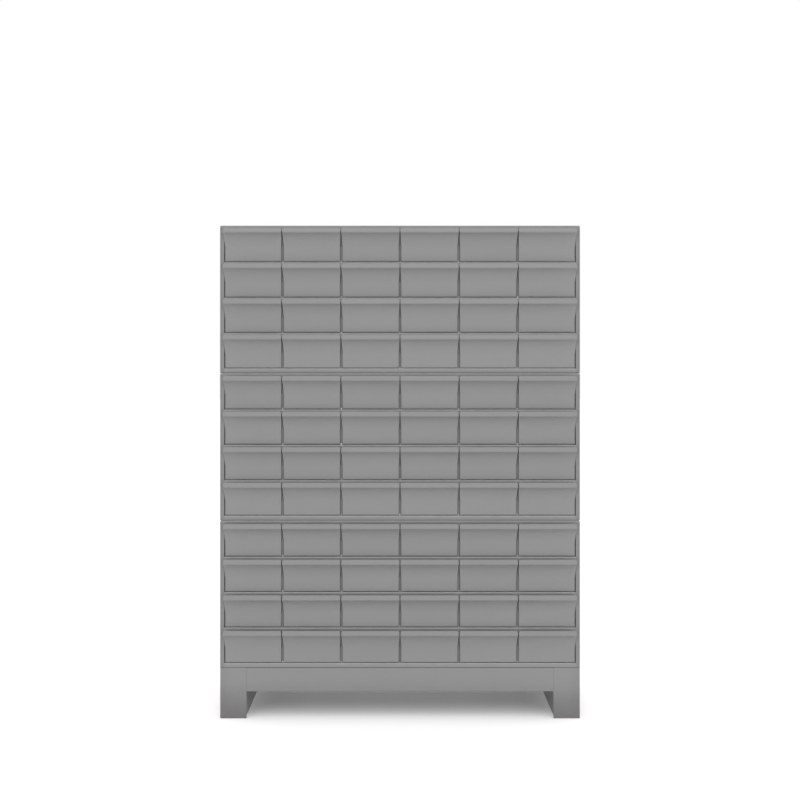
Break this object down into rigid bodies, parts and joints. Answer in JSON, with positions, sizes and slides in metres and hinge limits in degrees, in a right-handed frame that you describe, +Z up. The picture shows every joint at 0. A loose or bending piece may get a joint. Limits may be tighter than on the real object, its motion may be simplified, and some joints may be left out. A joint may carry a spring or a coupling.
{
  "type": "small parts drawer cabinet",
  "caption": "Free-standing steel cabinet for small parts: stacked modules of sliding drawers with full-width swept pulls, on a footed sheet-metal base.",
  "frame": {"origin": "on the ground, under the middle of the cabinet's bounding box", "axes": "+Z up, +Y towards the back of the cabinet, +X to the right of a person facing the drawers; drawers slide out towards -Y"},
  "size_m": [0.867, 0.3142, 1.1868],
  "materials": {
    "case_paint": "gray baked enamel on sheet steel, satin",
    "drawer_paint": "gray baked enamel on sheet steel, satin",
    "guide_steel": "bare galvanised strip, worn by the drawers",
    "fastener_zinc": "zinc plated"
  },
  "bodies": {
    "cabinet": {"upper_case": "case_paint", "middle_case": "case_paint", "lower_case": "case_paint", "back_panels": "case_paint", "shelves": "case_paint", "drawer_guides": "guide_steel", "left_foot": "case_paint", "right_foot": "case_paint", "front_rail": "case_paint", "back_rail": "case_paint", "stack_bolts": "fastener_zinc", "stack_nuts": "fastener_zinc"},
    "drawer_r01_c1": {"drawer_r01_c1": "drawer_paint"},
    "drawer_r01_c2": {"drawer_r01_c2": "drawer_paint"},
    "drawer_r01_c3": {"drawer_r01_c3": "drawer_paint"},
    "drawer_r01_c4": {"drawer_r01_c4": "drawer_paint"},
    "drawer_r01_c5": {"drawer_r01_c5": "drawer_paint"},
    "drawer_r01_c6": {"drawer_r01_c6": "drawer_paint"},
    "drawer_r02_c1": {"drawer_r02_c1": "drawer_paint"},
    "drawer_r02_c2": {"drawer_r02_c2": "drawer_paint"},
    "drawer_r02_c3": {"drawer_r02_c3": "drawer_paint"},
    "drawer_r02_c4": {"drawer_r02_c4": "drawer_paint"},
    "drawer_r02_c5": {"drawer_r02_c5": "drawer_paint"},
    "drawer_r02_c6": {"drawer_r02_c6": "drawer_paint"},
    "drawer_r03_c1": {"drawer_r03_c1": "drawer_paint"},
    "drawer_r03_c2": {"drawer_r03_c2": "drawer_paint"},
    "drawer_r03_c3": {"drawer_r03_c3": "drawer_paint"},
    "drawer_r03_c4": {"drawer_r03_c4": "drawer_paint"},
    "drawer_r03_c5": {"drawer_r03_c5": "drawer_paint"},
    "drawer_r03_c6": {"drawer_r03_c6": "drawer_paint"},
    "drawer_r04_c1": {"drawer_r04_c1": "drawer_paint"},
    "drawer_r04_c2": {"drawer_r04_c2": "drawer_paint"},
    "drawer_r04_c3": {"drawer_r04_c3": "drawer_paint"},
    "drawer_r04_c4": {"drawer_r04_c4": "drawer_paint"},
    "drawer_r04_c5": {"drawer_r04_c5": "drawer_paint"},
    "drawer_r04_c6": {"drawer_r04_c6": "drawer_paint"},
    "drawers_r05_c1_c2": {"drawers_r05_c1_c2": "drawer_paint"},
    "drawers_r05_c3_c4": {"drawers_r05_c3_c4": "drawer_paint"},
    "drawers_r05_c5_c6": {"drawers_r05_c5_c6": "drawer_paint"},
    "drawers_r06_c1_c2": {"drawers_r06_c1_c2": "drawer_paint"},
    "drawers_r06_c3_c4": {"drawers_r06_c3_c4": "drawer_paint"},
    "drawers_r06_c5_c6": {"drawers_r06_c5_c6": "drawer_paint"},
    "drawers_r07_c1_c2": {"drawers_r07_c1_c2": "drawer_paint"},
    "drawers_r07_c3_c4": {"drawers_r07_c3_c4": "drawer_paint"},
    "drawers_r07_c5_c6": {"drawers_r07_c5_c6": "drawer_paint"},
    "drawers_r08_c1_c2": {"drawers_r08_c1_c2": "drawer_paint"},
    "drawers_r08_c3_c4": {"drawers_r08_c3_c4": "drawer_paint"},
    "drawers_r08_c5_c6": {"drawers_r08_c5_c6": "drawer_paint"},
    "drawers_r09_c1_c2": {"drawers_r09_c1_c2": "drawer_paint"},
    "drawers_r09_c3_c4": {"drawers_r09_c3_c4": "drawer_paint"},
    "drawers_r09_c5_c6": {"drawers_r09_c5_c6": "drawer_paint"},
    "drawers_r10_c1_c2": {"drawers_r10_c1_c2": "drawer_paint"},
    "drawers_r10_c3_c4": {"drawers_r10_c3_c4": "drawer_paint"},
    "drawers_r10_c5_c6": {"drawers_r10_c5_c6": "drawer_paint"},
    "drawers_r11_c1_c2": {"drawers_r11_c1_c2": "drawer_paint"},
    "drawers_r11_c3_c4": {"drawers_r11_c3_c4": "drawer_paint"},
    "drawers_r11_c5_c6": {"drawers_r11_c5_c6": "drawer_paint"},
    "drawers_r12_c1_c2": {"drawers_r12_c1_c2": "drawer_paint"},
    "drawers_r12_c3_c4": {"drawers_r12_c3_c4": "drawer_paint"},
    "drawers_r12_c5_c6": {"drawers_r12_c5_c6": "drawer_paint"}
  },
  "joints": [
    {"name": "drawer_r01_c1_slide", "type": "slide", "parent": "cabinet", "child": "drawer_r01_c1", "axis": [0, -1, 0], "range_m": [0, 0.255]},
    {"name": "drawer_r01_c2_slide", "type": "slide", "parent": "cabinet", "child": "drawer_r01_c2", "axis": [0, -1, 0], "range_m": [0, 0.255]},
    {"name": "drawer_r01_c3_slide", "type": "slide", "parent": "cabinet", "child": "drawer_r01_c3", "axis": [0, -1, 0], "range_m": [0, 0.255]},
    {"name": "drawer_r01_c4_slide", "type": "slide", "parent": "cabinet", "child": "drawer_r01_c4", "axis": [0, -1, 0], "range_m": [0, 0.255]},
    {"name": "drawer_r01_c5_slide", "type": "slide", "parent": "cabinet", "child": "drawer_r01_c5", "axis": [0, -1, 0], "range_m": [0, 0.255]},
    {"name": "drawer_r01_c6_slide", "type": "slide", "parent": "cabinet", "child": "drawer_r01_c6", "axis": [0, -1, 0], "range_m": [0, 0.255]},
    {"name": "drawer_r02_c1_slide", "type": "slide", "parent": "cabinet", "child": "drawer_r02_c1", "axis": [0, -1, 0], "range_m": [0, 0.255]},
    {"name": "drawer_r02_c2_slide", "type": "slide", "parent": "cabinet", "child": "drawer_r02_c2", "axis": [0, -1, 0], "range_m": [0, 0.255]},
    {"name": "drawer_r02_c3_slide", "type": "slide", "parent": "cabinet", "child": "drawer_r02_c3", "axis": [0, -1, 0], "range_m": [0, 0.255]},
    {"name": "drawer_r02_c4_slide", "type": "slide", "parent": "cabinet", "child": "drawer_r02_c4", "axis": [0, -1, 0], "range_m": [0, 0.255]},
    {"name": "drawer_r02_c5_slide", "type": "slide", "parent": "cabinet", "child": "drawer_r02_c5", "axis": [0, -1, 0], "range_m": [0, 0.255]},
    {"name": "drawer_r02_c6_slide", "type": "slide", "parent": "cabinet", "child": "drawer_r02_c6", "axis": [0, -1, 0], "range_m": [0, 0.255]},
    {"name": "drawer_r03_c1_slide", "type": "slide", "parent": "cabinet", "child": "drawer_r03_c1", "axis": [0, -1, 0], "range_m": [0, 0.255]},
    {"name": "drawer_r03_c2_slide", "type": "slide", "parent": "cabinet", "child": "drawer_r03_c2", "axis": [0, -1, 0], "range_m": [0, 0.255]},
    {"name": "drawer_r03_c3_slide", "type": "slide", "parent": "cabinet", "child": "drawer_r03_c3", "axis": [0, -1, 0], "range_m": [0, 0.255]},
    {"name": "drawer_r03_c4_slide", "type": "slide", "parent": "cabinet", "child": "drawer_r03_c4", "axis": [0, -1, 0], "range_m": [0, 0.255]},
    {"name": "drawer_r03_c5_slide", "type": "slide", "parent": "cabinet", "child": "drawer_r03_c5", "axis": [0, -1, 0], "range_m": [0, 0.255]},
    {"name": "drawer_r03_c6_slide", "type": "slide", "parent": "cabinet", "child": "drawer_r03_c6", "axis": [0, -1, 0], "range_m": [0, 0.255]},
    {"name": "drawer_r04_c1_slide", "type": "slide", "parent": "cabinet", "child": "drawer_r04_c1", "axis": [0, -1, 0], "range_m": [0, 0.255]},
    {"name": "drawer_r04_c2_slide", "type": "slide", "parent": "cabinet", "child": "drawer_r04_c2", "axis": [0, -1, 0], "range_m": [0, 0.255]},
    {"name": "drawer_r04_c3_slide", "type": "slide", "parent": "cabinet", "child": "drawer_r04_c3", "axis": [0, -1, 0], "range_m": [0, 0.255]},
    {"name": "drawer_r04_c4_slide", "type": "slide", "parent": "cabinet", "child": "drawer_r04_c4", "axis": [0, -1, 0], "range_m": [0, 0.255]},
    {"name": "drawer_r04_c5_slide", "type": "slide", "parent": "cabinet", "child": "drawer_r04_c5", "axis": [0, -1, 0], "range_m": [0, 0.255]},
    {"name": "drawer_r04_c6_slide", "type": "slide", "parent": "cabinet", "child": "drawer_r04_c6", "axis": [0, -1, 0], "range_m": [0, 0.255]},
    {"name": "drawers_r05_c1_c2_slide", "type": "slide", "parent": "cabinet", "child": "drawers_r05_c1_c2", "axis": [0, -1, 0], "range_m": [0, 0.255]},
    {"name": "drawers_r05_c3_c4_slide", "type": "slide", "parent": "cabinet", "child": "drawers_r05_c3_c4", "axis": [0, -1, 0], "range_m": [0, 0.255]},
    {"name": "drawers_r05_c5_c6_slide", "type": "slide", "parent": "cabinet", "child": "drawers_r05_c5_c6", "axis": [0, -1, 0], "range_m": [0, 0.255]},
    {"name": "drawers_r06_c1_c2_slide", "type": "slide", "parent": "cabinet", "child": "drawers_r06_c1_c2", "axis": [0, -1, 0], "range_m": [0, 0.255]},
    {"name": "drawers_r06_c3_c4_slide", "type": "slide", "parent": "cabinet", "child": "drawers_r06_c3_c4", "axis": [0, -1, 0], "range_m": [0, 0.255]},
    {"name": "drawers_r06_c5_c6_slide", "type": "slide", "parent": "cabinet", "child": "drawers_r06_c5_c6", "axis": [0, -1, 0], "range_m": [0, 0.255]},
    {"name": "drawers_r07_c1_c2_slide", "type": "slide", "parent": "cabinet", "child": "drawers_r07_c1_c2", "axis": [0, -1, 0], "range_m": [0, 0.255]},
    {"name": "drawers_r07_c3_c4_slide", "type": "slide", "parent": "cabinet", "child": "drawers_r07_c3_c4", "axis": [0, -1, 0], "range_m": [0, 0.255]},
    {"name": "drawers_r07_c5_c6_slide", "type": "slide", "parent": "cabinet", "child": "drawers_r07_c5_c6", "axis": [0, -1, 0], "range_m": [0, 0.255]},
    {"name": "drawers_r08_c1_c2_slide", "type": "slide", "parent": "cabinet", "child": "drawers_r08_c1_c2", "axis": [0, -1, 0], "range_m": [0, 0.255]},
    {"name": "drawers_r08_c3_c4_slide", "type": "slide", "parent": "cabinet", "child": "drawers_r08_c3_c4", "axis": [0, -1, 0], "range_m": [0, 0.255]},
    {"name": "drawers_r08_c5_c6_slide", "type": "slide", "parent": "cabinet", "child": "drawers_r08_c5_c6", "axis": [0, -1, 0], "range_m": [0, 0.255]},
    {"name": "drawers_r09_c1_c2_slide", "type": "slide", "parent": "cabinet", "child": "drawers_r09_c1_c2", "axis": [0, -1, 0], "range_m": [0, 0.255]},
    {"name": "drawers_r09_c3_c4_slide", "type": "slide", "parent": "cabinet", "child": "drawers_r09_c3_c4", "axis": [0, -1, 0], "range_m": [0, 0.255]},
    {"name": "drawers_r09_c5_c6_slide", "type": "slide", "parent": "cabinet", "child": "drawers_r09_c5_c6", "axis": [0, -1, 0], "range_m": [0, 0.255]},
    {"name": "drawers_r10_c1_c2_slide", "type": "slide", "parent": "cabinet", "child": "drawers_r10_c1_c2", "axis": [0, -1, 0], "range_m": [0, 0.255]},
    {"name": "drawers_r10_c3_c4_slide", "type": "slide", "parent": "cabinet", "child": "drawers_r10_c3_c4", "axis": [0, -1, 0], "range_m": [0, 0.255]},
    {"name": "drawers_r10_c5_c6_slide", "type": "slide", "parent": "cabinet", "child": "drawers_r10_c5_c6", "axis": [0, -1, 0], "range_m": [0, 0.255]},
    {"name": "drawers_r11_c1_c2_slide", "type": "slide", "parent": "cabinet", "child": "drawers_r11_c1_c2", "axis": [0, -1, 0], "range_m": [0, 0.255]},
    {"name": "drawers_r11_c3_c4_slide", "type": "slide", "parent": "cabinet", "child": "drawers_r11_c3_c4", "axis": [0, -1, 0], "range_m": [0, 0.255]},
    {"name": "drawers_r11_c5_c6_slide", "type": "slide", "parent": "cabinet", "child": "drawers_r11_c5_c6", "axis": [0, -1, 0], "range_m": [0, 0.255]},
    {"name": "drawers_r12_c1_c2_slide", "type": "slide", "parent": "cabinet", "child": "drawers_r12_c1_c2", "axis": [0, -1, 0], "range_m": [0, 0.255]},
    {"name": "drawers_r12_c3_c4_slide", "type": "slide", "parent": "cabinet", "child": "drawers_r12_c3_c4", "axis": [0, -1, 0], "range_m": [0, 0.255]},
    {"name": "drawers_r12_c5_c6_slide", "type": "slide", "parent": "cabinet", "child": "drawers_r12_c5_c6", "axis": [0, -1, 0], "range_m": [0, 0.255]}
  ]
}
